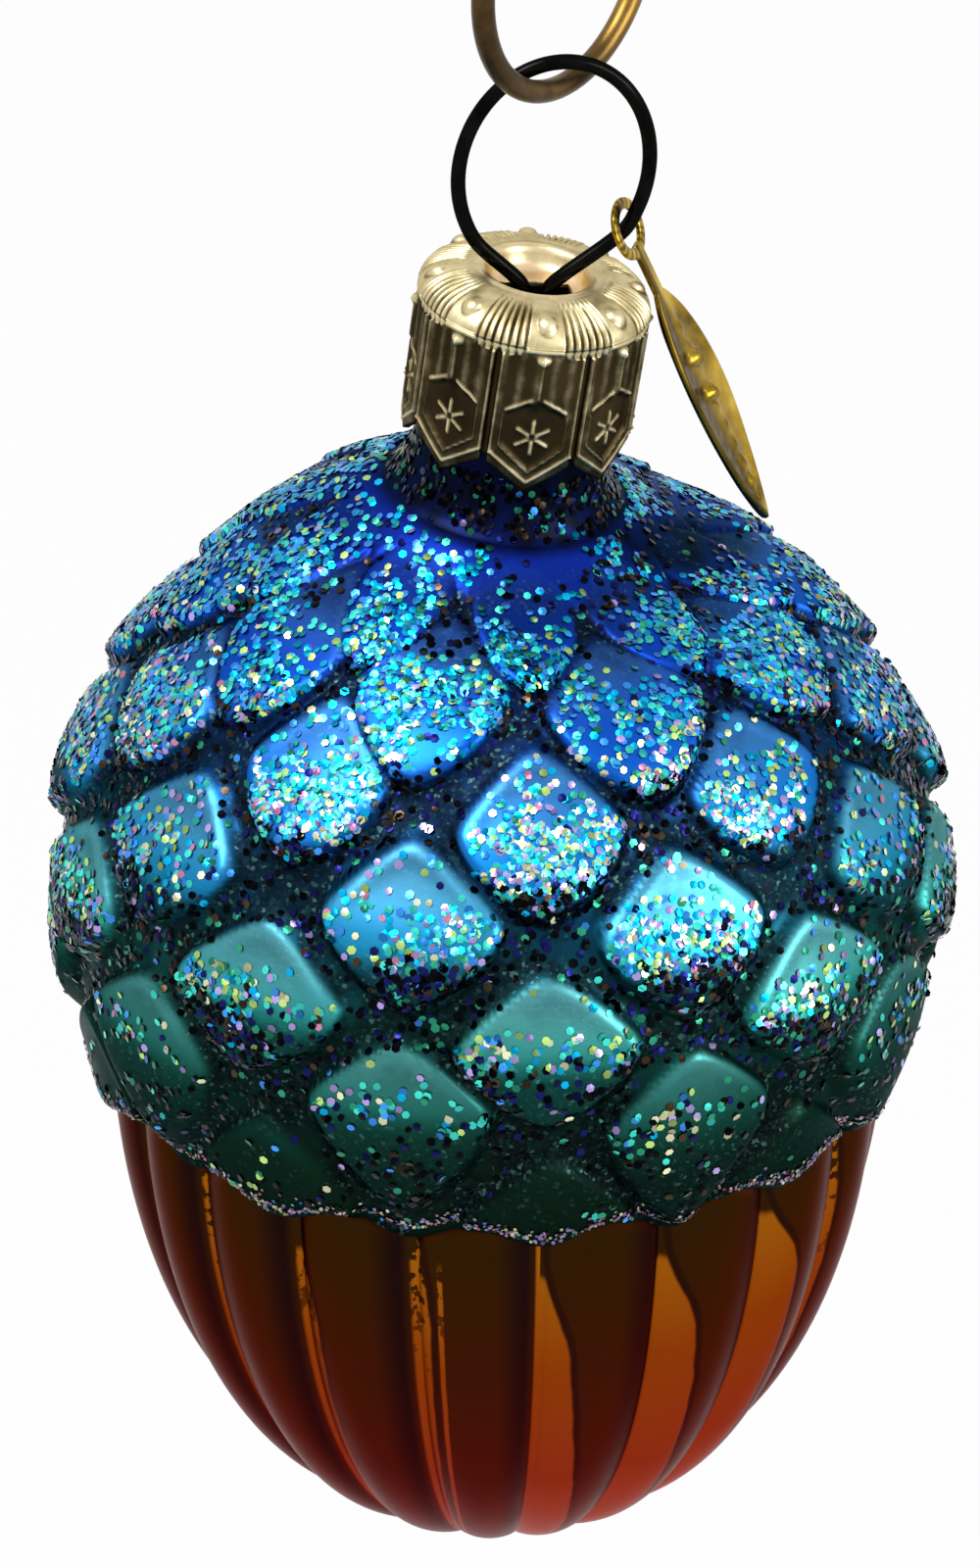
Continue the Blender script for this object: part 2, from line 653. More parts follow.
# %% Cup lacquer
cup_lacquer, wire = finish("cup_lacquer")
height = wire.of_mesh("height")
relief = wire.of_mesh("relief")
place = wire.of_mesh("place")
drift = wire.grain(90.0) - 0.5
shade = (height + drift * 3.0 + 10.0) / 34.0
lacquer = shade.ramp(
    (0.0, 6, 20, 11), (0.1, 11, 38, 26), (0.2, 17, 74, 62), (0.35, 34, 136, 128),
    (0.5, 24, 124, 176), (0.63, 18, 96, 184), (0.74, 15, 66, 172), (0.84, 14, 42, 150),
    (0.94, 10, 20, 92),
)
deep = shade.ramp((0.1, 9, 24, 14), (0.4, 5, 18, 22), (0.7, 7, 10, 20))
sheen = relief.rise(0.22, 0.44) * place.rise(0.25, -0.75)
sheen = sheen * height.rise(-5.0, 4.0) * (height.rise(15.0, 3.0) * 0.4 + 0.14)
lacquer = lacquer.mixed(paint(126, 214, 216), sheen)
shadow = relief.rise(0.62, 0.1)
dark_spots = wire.grain(700.0, detail=3.0).rise(0.35, 0.65) * 0.2 + 0.8
dim = wire.of_mesh("dim") * dark_spots
lacquer = lacquer.mixed(deep, wire.math("MAXIMUM", shadow * 0.84, dim))
grains = wire.add("TexVoronoi", {}, {"Vector": wire.place(), "Scale": 6000.0}, output=1)
grain_number = wire.add("SeparateColor", {}, {"Color": grains})
dust = grain_number.ramp(
    (0.0, 5, 9, 10), (0.5, 11, 18, 19), (0.78, 20, 28, 34), (0.92, 22, 52, 50),
    (0.985, 70, 104, 98),
)
lower_side = wire.of_mesh("low_end")
clumps = (wire.grain(420.0, detail=3.0) + 0.08).rise(0.42, 0.6)
lower_side = lower_side * (height.rise(-6.0, 3.0) * 0.35 + 0.55)
dusty = wire.math("MAXIMUM", shadow * clumps * 0.8, lower_side)
colour = lacquer.mixed(dust, dusty * 0.96)
surface(
    wire,
    Base_Color=colour,
    Metallic=0.95,
    Roughness=0.36 + dusty * 0.2,
    Specular_IOR_Level=0.3,
    Specular_Tint=(0.46, 0.54, 0.54, 1.0),
    Normal=(grain_number * dusty).bumped(0.4, 0.0001),
)

# %% [markdown]
# ## Lacquer on the nut
# The lobes go from olive brown under the cup to crimson at the bottom. One painted band runs
# down the right side of each groove. It is thin at its top, wider below, and was drawn by hand,
# so its edges waver and each band has a width of its own.

# %% Nut lacquer
nut_lacquer, wire = finish("nut_lacquer")
mould_map = wire.add("UVMap", {"uv_map": "mould"})
flute_place = wire.add("SeparateXYZ", {}, {"Vector": mould_map})
drop = wire.add("SeparateXYZ", {}, {"Vector": mould_map}, output=1)
waver = wire.grain(420.0, detail=3.0) - 0.5
number = wire.math("FLOOR", flute_place + BEFORE)
across = flute_place - number
chance = wire.add("TexWhiteNoise", {"noise_dimensions": "1D"}, {"W": number + 0.5})
starts = drop - chance * 0.08
width = (wire.of_mesh("band_width") + waver * 0.05) * starts.rise(-0.06, 0.2)
band = across.rise(-0.05, -0.02) * (across - width).rise(0.015, -0.015)
band = band * starts.rise(0.01, 0.03) * drop.rise(0.985, 0.95)
line = wire.math("ABSOLUTE", across - 0.215 + waver * 0.02).rise(0.03, 0.012)
band = wire.math("MAXIMUM", band, line * wire.of_mesh("second_line") * drop.rise(0.06, 0.12))
blotch = (wire.grain(1500.0, detail=3.0) + drop * 0.5).rise(0.56, 0.5)
band = band * (1 - blotch * drop.rise(0.45, 0.1) * wire.of_mesh("band_middle").rise(0.32, 0.15))
lobe = drop.ramp((0.0, 46, 28, 5), (0.25, 58, 22, 6), (0.6, 72, 15, 10), (1.0, 104, 22, 24))
side = across.rise(0.62, 0.88) + across.rise(-0.03, -0.12)
edge_line = wire.math("ABSOLUTE", across - width - 0.035).rise(0.045, 0.01) * drop.rise(0.9, 0.5)
lobe = lobe.mixed(paint(18, 6, 12), wire.math("MINIMUM", side * 0.75 + edge_line * 0.5, 0.9))
bright = drop.ramp((0.0, 164, 98, 14), (0.3, 142, 58, 8), (0.6, 144, 44, 20), (0.95, 180, 74, 56))
surface(
    wire,
    Base_Color=lobe.mixed(bright, band),
    Metallic=1.0,
    Roughness=0.32 + waver * 0.1,
    Specular_Tint=(0.7, 0.51, 0.5, 1.0),
    Normal=(band + waver * 0.3).bumped(0.25, 0.0001),
)

# %% [markdown]
# ## Silver inside
# The inside of such glass is silvered with a mirror solution. It shows only through the neck
# when the cap is pulled off, so one bright metal with a little stain is enough.

# %% Silvering, and the dressed acorn
silvering, wire = finish("silvering")
stain = wire.grain(260.0, detail=4.0)
surface(
    wire,
    Base_Color=stain.ramp((0.35, 120, 112, 98), (0.65, 214, 212, 205)),
    Metallic=1.0,
    Roughness=0.18 + stain * 0.2,
)
dress(acorn, "glass", (cup_lacquer, nut_lacquer, silvering), "glass_acorn")

# %% [markdown]
# ## Glitter
# The glitter is cut film: hexagons 0.4 mm across that were dusted on wet glue. Real flakes catch
# the light one by one, because each lies at its own tilt, so they are real pieces here and not a
# pattern. A flake is a very flat double pyramid, which keeps it closed with only 12 faces. The
# dust falls mostly on the lower half of each scale, in patches, and thins out on the last rows.

# %% Where the flakes lie
FLAKE_RADIUS, FLAKE_HALF, FLAKE_TILT, FLAKE_LIFT = 0.215, 0.016, 0.28, (0.02, 0.06)
TRIES, STEP, GLITTER_SHARE = 120000, 0.03, 0.7
BARE_TURN, BARE_ROW, BARE_HALF_TURN, BARE_HALF_ROW = 5, -2.55, 30, 0.45  # in front of the neck
# Rows, and how thick the glitter lies there
GLITTER_ROWS = (
    (-3, 0.3), (-2.4, 1), (-1.8, 1.25), (0.4, 1.15), (1, 0.9), (2.4, 0.75), (3, 0.34), (3.5, 0.2),
    (4, 0.1),
)
# Rows, and how much of that lies on the upper half of a scale
UPPER_HALVES = ((-1, 0.75), (0, 0.55), (1, 0.2), (2, 0.06))
dice = np.random.default_rng(21)


def face_of_cup(u, v):
    """Points and outward normals on the cup's relief."""
    turn = SCALE_TURN + HALF_PITCH * u
    at, relief, place = cup_points(turn, v)
    right = cup_points(turn + STEP * HALF_PITCH, v)[0] - at
    down = cup_points(turn, v + STEP)[0] - at
    return at, unit(np.cross(down, right)), relief, place


def patches(at, size):
    """Slow noise from 0 to 1, one value to a point, for patches of thick and thin glitter."""
    return np.array([noise.noise(Vector(p) / size) for p in at]) / 2 + 0.5


u, v = dice.uniform(0, 2 * SCALES, TRIES), dice.uniform(TOP_ROW + 0.1, EDGE_ROW - 0.02, TRIES)
even = dice.uniform(0, 1, TRIES) < cup_radius(row_height(v)) / CUP_RADIUS
u, v = u[even], v[even]
at, normal, relief, place = face_of_cup(u, v)
thick = ease((patches(at, 4.5) - 0.28) / 0.3)
on_top = np.interp(v, *zip(*UPPER_HALVES))
over_pad = on_top + (1 - on_top) * ease((place + 0.5) / 0.45)
low = low_end(v, place, relief)
on_pad = ease((relief - 0.3) / 0.3) * over_pad
turn = turned_from(0, SCALE_TURN + HALF_PITCH * u)
lower = np.maximum(v - BARE_ROW, 0)
bare = np.exp(-(((turn - BARE_TURN) / BARE_HALF_TURN) ** 4) - (lower / BARE_HALF_ROW) ** 2)
bare = np.maximum(bare, dark_patch(turn, v))
chance = np.interp(v, *zip(*GLITTER_ROWS)) * (0.25 + 0.75 * thick) * (1 - 0.88 * bare)
chance = chance * np.maximum(0.3 * ease((0.45 - relief) / 0.3) + on_pad, 0.9 * low)
kept = np.nonzero(dice.uniform(0, 1, len(u)) < GLITTER_SHARE * chance)[0]
at, normal, relief, place, v, low, bare = (
    values[kept] for values in (at, normal, relief, place, v, low, bare)
)
print("flakes", len(kept), "of", len(u), "tries")

# %% [markdown]
# The film is iridescent, so one batch shows turquoise, aqua, green, pale yellow and lilac at
# once. Near the top there is more turquoise, on the lower scales more mint and lilac, and what
# fell into the grooves looks black or bottle green.

# %% Colours of the flakes
FILM = {
    "turquoise": (14, 172, 226),
    "sky": (66, 152, 246),
    "aqua": (70, 224, 208),
    "green": (48, 150, 116),
    "yellow_green": (190, 228, 130),
    "cream": (238, 238, 196),
    "lilac": (178, 160, 224),
    "rose": (214, 140, 176),
    "navy": (26, 30, 92),
    "black": (12, 14, 18),
    "umber": (70, 56, 42),
}
MIXES = {  # shares of those colours, in their order
    "top": (37, 30, 20, 5, 7, 1, 1, 0, 4, 0, 0),
    "middle": (22, 24, 22, 4, 11, 10, 13, 3, 2, 0, 0),
    "low": (9, 12, 30, 12, 13, 10, 10, 1, 3, 2, 0),
    "edge": (3, 8, 8, 4, 4, 18, 34, 8, 6, 2, 2),
    "groove": (1, 1, 1, 7, 0, 0, 2, 0, 22, 56, 10),
    "border": (1, 2, 3, 2, 1, 18, 24, 16, 4, 8, 14),
}
film = np.array([paint(*colour) for colour in FILM.values()])


def drawn(mix, size):
    shares = np.array(MIXES[mix], float)
    return film[dice.choice(len(film), size, p=shares / shares.sum())]


n = len(kept)
zone = np.digitize(v + dice.normal(0, 0.35, n), [-0.6, 1.5])
colour = np.choose(zone[:, None], [drawn("top", n), drawn("middle", n), drawn("low", n)])
darkness = np.maximum(np.maximum(0.95 * low, 0.75 * bare), 0.6 * ease((v - 2.6) / 0.8))
dark = (relief < 0.4) | (dice.uniform(0, 1, n) < darkness)
colour = np.where(dark[:, None], drawn("groove", n), colour)
tip = (place > 0.3) & (relief > 0.7) & (v > -0.5) & ~dark & (dice.uniform(0, 1, n) < 0.35)
colour = np.where(tip[:, None], drawn("edge", n), colour)
colour[:, :3] *= dice.uniform(0.4, 1.15, (n, 1))
colour = np.clip(colour, 0, 1)
print("dark flakes", int(dark.sum()), "pale tips", int(tip.sum()))

# %% Flake meshes
film_finish, wire = finish("iridescent_film")
surface(wire, Base_Color=wire.of_mesh("film_colour", 0), Metallic=1.0, Roughness=0.28)


def flakes(name, at, normal, colour, radius):
    """Tilted hexagons on a face, as closed double pyramids; none stands out of the model's box."""
    n = len(at)
    tilted = unit(normal + dice.uniform(-FLAKE_TILT, FLAKE_TILT, (n, 3)))
    side = unit(np.cross(tilted, dice.normal(0, 1, (n, 3))))
    other = np.cross(tilted, side)
    size = radius * dice.uniform(0.85, 1.1, n)[:, None]
    lift = at + normal * (FLAKE_HALF + dice.uniform(*FLAKE_LIFT, n)[:, None])
    corners = [k * math.pi / 3 for k in range(6)]
    rim = [lift + size * (math.cos(c) * side + math.sin(c) * other) for c in corners]
    stack = from_glass(np.stack([lift + FLAKE_HALF * tilted, *rim, lift - FLAKE_HALF * tilted], 1))
    inside = np.all((stack > cad_box[0]) & (stack < cad_box[1]), axis=(1, 2))
    stack, colour = stack[inside], colour[inside]
    one = fan(1, 0, 6, tip_first=True) + fan(1, 7, 6)
    faces = (np.array(one)[None] + 8 * np.arange(len(stack))[:, None, None]).reshape(-1, 3)
    colours = {"film_colour": np.repeat(colour, 8, axis=0)}
    made = new_object(name, stack.reshape(-1, 3), faces.tolist(), colours)
    dress(made, "glass", (film_finish,), smooth=False)


zones = np.digitize(v, [-0.9, 1.0])
for zone, name in enumerate(("upper_glitter", "middle_glitter", "lower_glitter")):
    part = zones == zone
    flakes(name, at[part], normal[part], colour[part], FLAKE_RADIUS)

# %% [markdown]
# Along the cup's wavy border the glue was drawn on with a fine brush, and finer glitter in
# cream, beige and lilac marks the line against the nut.

# %% Glitter along the border
BORDER_FLAKES = 2600
u = dice.uniform(0, 2 * SCALES, BORDER_FLAKES)
v = EDGE_ROW - 0.015 - np.abs(dice.normal(0, 0.05, BORDER_FLAKES))
at, normal, relief, place = face_of_cup(u, v)
border_colour = drawn("border", BORDER_FLAKES)
border_colour[:, :3] *= dice.uniform(0.2, 0.7, (BORDER_FLAKES, 1))
flakes("border_glitter", at, normal, border_colour, 0.45 * FLAKE_RADIUS)

# %% [markdown]
# A little dust also stuck to the neck, just under the cap. Most of it is dark there.

# %% Dust on the neck
NECK_FLAKES = 700
turn = dice.uniform(0, 360, NECK_FLAKES)
height = dice.uniform(neck_low, NECK_FOOT + 0.9, NECK_FLAKES)
neck_r = neck_radius(height)
at = neck_ring(height, neck_r, turn)
slope = (neck_radius(height - 0.05) - neck_r) / 0.05
normal = unit(towards(turn) + slope[:, None] * UP)
bright = dice.uniform(0, 1, NECK_FLAKES) < 0.1
colour = np.where(bright[:, None], drawn("top", NECK_FLAKES), drawn("groove", NECK_FLAKES))
colour[:, :3] *= dice.uniform(0.1, 0.5, (NECK_FLAKES, 1))
flakes("neck_glitter", at, normal, colour, 0.9 * FLAKE_RADIUS)

# %% [markdown]
# ## The stamped cap
# The cap is thin tinplate, stamped in one blow: a crater with a slot on top, a dome with fans of
# ribs, and eight pointed lappets with a ridge, a shield and a six-armed star each. It was then
# darkened and rubbed bright again where it stands proud. The relief and the bright places come
# from one function of where a point lies on its lappet.

# %% Sizes of the cap
CAP_RADIUS, CAP_TOP, CAP_WALL, CAP_DOME = 5.55, 14.15, 0.35, 1.5
CAP_SKIRT, SKIRT_STEP, SHOULDER_BAND = 6.15, 0.15, 0.4
LAPPETS, LAPPET_TURN, LAPPET_POINT, LAPPET_GROOVE = 8, -5.5, 1.3, 0.3
RIM_RADIUS, CRATER_FLOOR = 2.8, 13.1
CAP_COLUMNS = 72 * LAPPETS
PINCH, LOOP_WIRE, SLOT_ROOM, SLOT_SIDE = 0.52, 0.7, 0.8, 0.2
shoulder_z = CAP_TOP - CAP_DOME
skirt_radius = CAP_RADIUS - SKIRT_STEP
half_lappet = math.pi * skirt_radius / LAPPETS
DOME_STEPS, DOME_BEAD = 25, 4.75  # rings of the dome, and how far out its beads lie
STAR_MIDDLE, STAR_ARM, STRIPE_PITCH = 4.6, (0.24, 0.84), 0.78
print("a lappet is", round(2 * half_lappet, 2), "mm wide")

# %% Relief of the cap


def bump(distance, width):
    return np.exp(-((distance / width) ** 2))


def from_line(x, y, start, end):
    """Distance from points to a straight line between two ends."""
    start, along = np.array(start, float), np.subtract(end, start)
    share = np.clip(((x - start[0]) * along[0] + (y - start[1]) * along[1]) / (along @ along), 0, 1)
    return np.hypot(x - start[0] - share * along[0], y - start[1] - share * along[1])


def lappet_relief(x, y):
    """Height in mm and brightness on a lappet, x across it and y down from the shoulder."""
    side = np.abs(x)
    lift = 0.16 * np.maximum(0, 1 - side / 1.1) * ease((3.4 - y) / 0.8)
    stripe, over_shield = 2 * math.pi * x / STRIPE_PITCH, ease((3.6 - y) / 0.8)
    lift = lift + 0.03 * np.cos(stripe + 1) * over_shield
    shine = 0.11 + 0.11 * np.cos(stripe + 1.4) * over_shield
    lines = [  # half a shield's outline, the ridge over it and the lappet's own edge
        ((0.0, 0.5), (0.0, 2.45), 0.06, 0.45),
        ((0.3, 2.55), (1.4, 3.2), 0.08, 0.9),
        ((1.5, 3.5), (1.5, 5.1), 0.06, 0.25),
        ((1.5, 5.1), (0.0, 6.4), 0.06, 0.4),
        ((1.88, 0.2), (1.88, 5.5), 0.06, 0.5),
        ((1.88, 5.5), (0.0, 6.95), 0.09, 0.8),
    ]
    for start, end, width, light in lines:
        near = bump(from_line(side, y, start, end), width)
        lift = lift + 0.11 * near
        shine = np.maximum(shine, light * near)
    inside = ease((1.5 - side) / 0.15) * ease((y - 2.6 - 0.55 * side) / 0.15)
    inside = inside * ease((6.3 - y - 0.9 * side) / 0.15)
    lift = lift - 0.1 * inside
    shine = np.where(shine < 0.4, shine * (1 - 0.9 * inside), shine)
    for arm in range(6):
        c, s = math.sin(arm * math.pi / 3), -math.cos(arm * math.pi / 3)
        ends = [(reach * c, STAR_MIDDLE + reach * s) for reach in STAR_ARM]
        near = bump(from_line(x, y, *ends), 0.09)
        lift = lift + 0.12 * near
        shine = np.maximum(shine, 0.8 * near)
    return lift, shine


def across_lappet(turn):
    """Place across a lappet from -1 to 1."""
    pitch = 360 / LAPPETS
    return ((turn - LAPPET_TURN + pitch / 2) % pitch - pitch / 2) / (pitch / 2)


def dome_z(r, under=0.0):
    edge = CAP_RADIUS - under
    share = np.clip((r - RIM_RADIUS) / (edge - RIM_RADIUS), 0, 1)
    return CAP_TOP - under - CAP_DOME * (1 - np.sqrt(1 - share**2))


cap_turns = LAPPET_TURN + 360 * (np.arange(CAP_COLUMNS) + 0.5) / CAP_COLUMNS
s = across_lappet(cap_turns)
cap_levels = []


def cap_level(r, z, shine=1.0, pale=0.0):
    """One ring of the cap, in the neck's frame, with its brightness and peach tint."""
    r, z, shine, pale = (np.broadcast_to(a, s.shape) for a in (r, z, shine, pale))
    at = r[:, None] * towards(cap_turns) + z[:, None] * UP
    cap_levels.append((at, shine, pale))


print("points in a ring of the cap", CAP_COLUMNS)

# %% Crater, dome and shoulder
CRATER_PROFILE = [
    (0.5, 0.0), (1.0, 0.0), (1.5, 0.0), (1.85, 0.02), (2.1, 0.12), (2.28, 0.38),
    (2.4, 0.7), (2.48, 0.92), (2.6, 1.03), (2.74, 1.07), (2.88, 1.03), (2.98, 0.97),
]
for r, rise in CRATER_PROFILE:
    cap_level(r, CRATER_FLOOR + rise, 0.85 if rise > 0.3 else 0.95, 1.0 if rise < 0.3 else 0.3)
RIBS = 11  # to a lappet's width, the smooth zone included
ribs = 2 * np.abs(np.cos(math.pi * RIBS * s / 2)) ** 0.8 - 1
rib_zone = ease((np.abs(s) - 0.38) / 0.08)
x = s * half_lappet
for k in range(2, DOME_STEPS):
    share = math.sin(math.pi / 2 * k / DOME_STEPS)
    r = RIM_RADIUS + (CAP_RADIUS - RIM_RADIUS) * share
    fade = ease((share - 0.18) / 0.25)
    bead = np.sqrt(np.maximum(0, 1 - ((x * r / CAP_RADIUS) ** 2 + (r - DOME_BEAD) ** 2) / 0.19))
    hollow = bump(np.hypot(x, r - DOME_BEAD) - 0.52, 0.1)
    lift = 0.14 * (ribs - 0.5) * rib_zone * fade + 0.26 * bead
    low_ribs = rib_zone * fade * (0.5 + 0.45 * share) * ease(0.8 - ribs)
    shine = 1 - low_ribs - 0.7 * hollow * (r > DOME_BEAD - 0.05)
    cap_level(r + 0.5 * lift, dome_z(r) + 0.85 * lift, shine)
scallop = 0.07 * (ribs - 1) * rib_zone
rubbed = 1 - 0.8 * rib_zone * ease(0.7 - ribs)
cap_level(CAP_RADIUS + scallop, shoulder_z + 0.12, rubbed)
cap_level(CAP_RADIUS + 0.02 + scallop, shoulder_z - 0.02, rubbed)
drip = ease((ribs - 0.2) / 0.5) * rib_zone
cap_level(CAP_RADIUS + scallop, shoulder_z - 0.14 - 0.1 * drip, 0.8)
cap_level(skirt_radius + 0.1 * drip, shoulder_z - 0.22 - 0.16 * drip, 0.2 + 0.7 * drip)
print("rings of the crater and the dome", len(cap_levels))

# %% Lappets
SKIRT_ROWS = 62
PANEL_FLAT = 0.45  # share of the way from a round skirt to a flat-sided one
groove = ease((np.abs(s) - 0.9) / 0.06)
point = LAPPET_POINT * np.maximum(0, 1 - np.abs(s) / 0.88)
skirt_end = CAP_SKIRT + point - 0.25 * groove
flat = skirt_radius * (1 + PANEL_FLAT * (1 / np.cos(s * math.pi / LAPPETS) - 1))
for k in range(SKIRT_ROWS + 1):
    y = SHOULDER_BAND + (skirt_end - SHOULDER_BAND) * k / SKIRT_ROWS
    lift, shine = lappet_relief(x, y)
    half_bead = np.sqrt(np.maximum(0, 1 - (x**2 + (y - 0.42) ** 2) / 0.12))
    lift = (lift + 0.16 * half_bead) * (1 - groove) - LAPPET_GROOVE * groove
    shine = np.maximum(shine, half_bead) * (1 - groove)
    cap_level(flat + lift - 0.04 * ease((y - skirt_end + 0.2) / 0.2), shoulder_z - y, shine)
print("the lappets reach", round(float(skirt_end.max()), 2), "mm below the shoulder")

# %% Inside of the cap, then the slot
inner = skirt_radius - CAP_WALL
cap_level(inner - 0.25 * groove, shoulder_z - skirt_end, 0.1)
cap_level(inner - 0.1 * groove, shoulder_z - CAP_SKIRT / 2, 0.1)
cap_level(inner, shoulder_z - CAP_WALL, 0.3)
for share in (0.98, 0.85, 0.5, 0.0):
    r = RIM_RADIUS + (inner - RIM_RADIUS) * share
    cap_level(r, dome_z(r, CAP_WALL), 0.4)
cap_level(2.3, CRATER_FLOOR - CAP_WALL, 0.4)
cap_points, shines, peaches = (np.concatenate(part) for part in zip(*cap_levels))
cap_points = np.vstack([cap_points, [[0, 0, CRATER_FLOOR], [0, 0, CRATER_FLOOR - CAP_WALL]]])
cap_faces = capped_skin(len(cap_levels), CAP_COLUMNS)
cap_numbers = {"shine": np.append(shines, [1.0, 0.4]), "peach": np.append(peaches, [1.0, 0.0])}
cap = new_object("stamped_crown_cap", from_neck(cap_points), cap_faces, cap_numbers)


def block(name, half, middle):
    """A closed block in the neck's frame, to cut with."""
    corners = [(x, y, z) for z in (-1, 1) for y in (-1, 1) for x in (-1, 1)]
    sides = [(0, 2, 3, 1), (4, 5, 7, 6), (0, 1, 5, 4), (2, 6, 7, 3), (0, 4, 6, 2), (1, 3, 7, 5)]
    return new_object(name, from_neck(np.array(corners) * half + middle), sides)


slot_half = (PINCH + LOOP_WIRE / 2 + SLOT_ROOM, LOOP_WIRE / 2 + SLOT_SIDE, 2 * CAP_WALL)
cut_or_join(cap, block("slot_punch", slot_half, (0, 0, SLOT_HEIGHT)), "DIFFERENCE")

# %% [markdown]
# ## Antiqued tinplate
# Low places keep the dark bronze patina, and what stands proud is rubbed to pale champagne. The
# brightness comes from the stamping, broken up by a little noise so that no edge is perfect.

# %% Cap metal
cap_metal, wire = finish("antiqued_tinplate")
worn = wire.grain(900.0, detail=4.0, roughness=0.6)
cloud = wire.grain(260.0)
shine = (wire.of_mesh("shine") + (worn - 0.5) * 0.5).rise(0.05, 0.85)
dark = cloud.ramp((0.3, 32, 26, 16), (0.7, 62, 52, 32))
pale = worn.ramp((0.3, 176, 160, 114), (0.7, 226, 212, 168))
pale = pale.mixed(paint(238, 208, 170), wire.of_mesh("peach") * 0.8)
surface(
    wire,
    Base_Color=dark.mixed(pale, shine),
    Metallic=1.0,
    Roughness=0.42 - shine * 0.12 + worn * 0.1,
    Specular_Tint=(0.75, 0.7, 0.6, 1.0),
    Normal=worn.bumped(0.25, 0.00006),
)
dress(cap, "cap", (cap_metal,), "crown_cap")

# %% [markdown]
# ## Wires
# The loop and the hook are round wire. A wire is a small ring carried along a path. At each step
# the ring is turned by as much as the path bends and no more, so that it never twists.

# %% Round wire along a path


def wire_along(name, path, radius, sides=20):
    """A closed round wire with domed ends, along points in metres."""
    path = np.asarray(path)
    ways = unit(np.gradient(path, axis=0))
    ends = [(0.3, 0.96), (0.6, 0.8), (0.85, 0.52)]  # share of the radius along, and the ring's size
    stops = [(path[0] - ways[0] * radius * a, ways[0], size) for a, size in reversed(ends)]
    stops += [(place, way, 1.0) for place, way in zip(path, ways)]
    stops += [(path[-1] + ways[-1] * radius * a, ways[-1], size) for a, size in ends]
    side = unit(np.cross(ways[0], (0.3, 0.5, 0.8)))  # any way across the wire will do
    turn = 2 * math.pi * np.arange(sides)[:, None] / sides
    points = []
    for place, way, size in stops:
        side = unit(side - way * (side @ way))
        other = np.cross(way, side)
        points.append(place + radius * size * (np.cos(turn) * side + np.sin(turn) * other))
    tips = [path[0] - ways[0] * radius * 0.95, path[-1] + ways[-1] * radius * 0.95]
    faces = capped_skin(len(points), sides, inside_out=True)
    along = np.repeat(np.linspace(0, 1, len(points)), sides)
    return new_object(name, np.vstack([*points, tips]), faces, {"along": np.append(along, [0, 1])})


def curve_through(points, steps):
    """Points on a smooth curve through a few given ones, which may be unevenly far apart."""
    p = np.asarray(points, float)
    p = np.vstack([2 * p[0] - p[1], p, 2 * p[-1] - p[-2]])
    gap = np.sqrt(np.linalg.norm(np.diff(p, axis=0), axis=1))
    pace = np.diff(p, axis=0) / gap[:, None]
    both = (p[2:] - p[:-2]) / (gap[:-1] + gap[1:])[:, None]
    way = pace[:-1] - both + pace[1:]  # how fast the curve passes each inner point
    t = np.linspace(0, 1, steps, endpoint=False)[:, None]
    parts = [
        (2 * t**3 - 3 * t**2 + 1) * start + (t**3 - 2 * t**2 + t) * leave * wide
        + (3 * t**2 - 2 * t**3) * end + (t**3 - t**2) * arrive * wide
        for start, end, leave, arrive, wide in zip(p[1:-2], p[2:-1], way, way[1:], gap[1:])
    ]
    return np.vstack([*parts, p[-2]])


print("a curve through 3 points:", curve_through([(0, 0), (1, 1), (2, 0)], 2).round(2).tolist())

# %% Black spring wire: the loop and its two legs
LOOP_HALF_WIDTH, LOOP_HALF_HEIGHT, LOOP_RISE, LOOP_OPENING, LOOP_STEP = 4.5, 5.4, 5.1, 44, 13.6
LEG_LENGTH, LEG_STEPS, CLEARANCE = 7.6, 4, 0.3
LOOP_MIDDLE = CAP_TOP + LOOP_RISE


def loop_point(turn):
    turn = math.radians(turn)
    return (LOOP_HALF_WIDTH * math.cos(turn), 0, LOOP_MIDDLE + LOOP_HALF_HEIGHT * math.sin(turn))


foot = BORE - LOOP_WIRE / 2 - CLEARANCE
right = [
    (foot + (PINCH - foot) * float(ease(up)), 0, SLOT_HEIGHT - LEG_LENGTH * (1 - up))
    for up in np.arange(LEG_STEPS) / LEG_STEPS
]
right += [(PINCH, 0, SLOT_HEIGHT - 0.25), (PINCH + 0.15, 0, SLOT_HEIGHT + 0.35)]
left = [(-x, y, z) for x, y, z in right]
arc = [loop_point(turn) for turn in np.arange(270 - LOOP_OPENING, LOOP_OPENING - 90, -LOOP_STEP)]
loop_path = curve_through(left + arc + right[::-1], 10)
loop = wire_along("black_wire_loop", from_neck(loop_path), MM * LOOP_WIRE / 2)

black_wire, wire = finish("blackened_spring_wire")
rub = wire.grain(700.0, detail=3.0)
surface(
    wire,
    Base_Color=rub.ramp((0.4, 6, 6, 6), (0.75, 20, 19, 18)),
    Metallic=0.9,
    Roughness=0.14 + rub * 0.12,
    Specular_Tint=(0.35, 0.34, 0.33, 1.0),
)
dress(loop, "loop", (black_wire,), "wire_loop")

# %% [markdown]
# The S-hook is thicker bronze wire: two round bends and a straight slanting stem. The bends are
# arcs, so the path is worked out from their radii and the hook's length.

